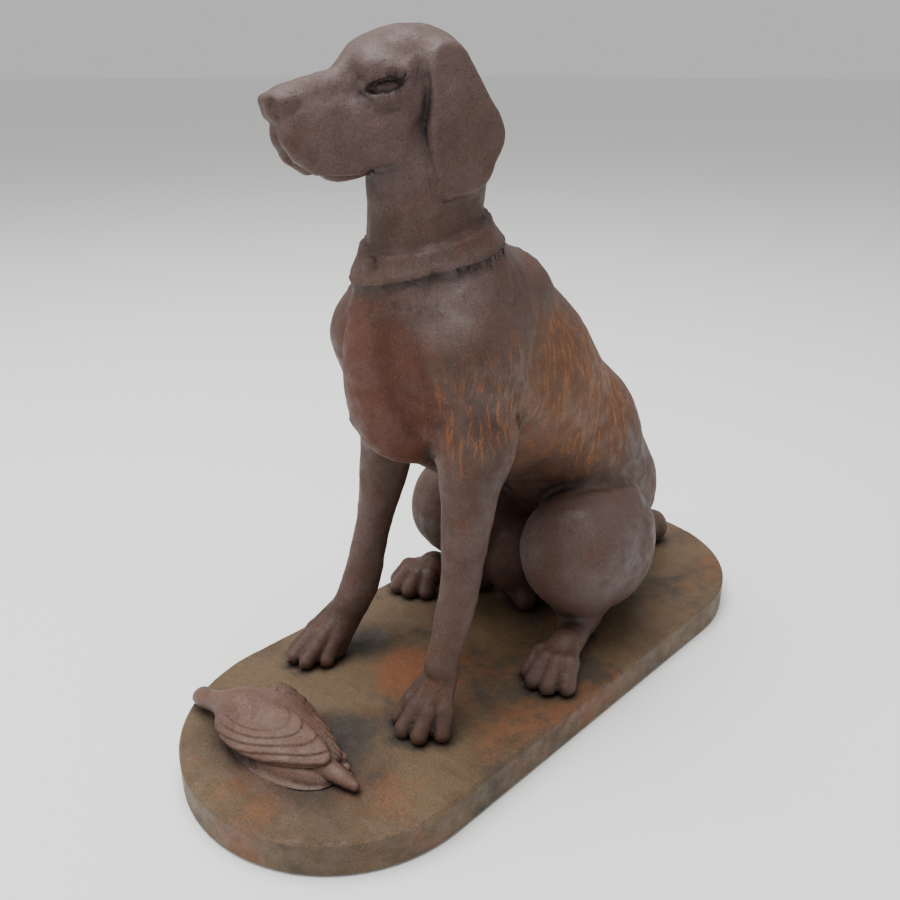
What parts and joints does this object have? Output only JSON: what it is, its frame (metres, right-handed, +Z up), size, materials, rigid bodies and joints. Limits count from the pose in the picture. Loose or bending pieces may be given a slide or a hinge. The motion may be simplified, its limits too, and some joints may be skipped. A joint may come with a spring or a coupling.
{
  "type": "cast iron dog statue",
  "caption": "Life-size sitting gun dog in cast iron with collar and curled tail, a game bird laid before its paws, on a thick round-ended base.",
  "frame": {"origin": "middle of the underside of the base", "axes": "+Z up, the dog faces -Y, the dog's left side is +X"},
  "size_m": [0.4, 0.955, 0.8468],
  "materials": {
    "base_iron": "rusted cast iron, olive brown on top with orange patches",
    "dog_iron": "rusted cast iron, mauve brown with orange run streaks",
    "bird_iron": "rusted cast iron, pinkish brown"
  },
  "bodies": {
    "root": {"base": "base_iron", "dog": "dog_iron", "bird": "bird_iron"}
  },
  "joints": []
}
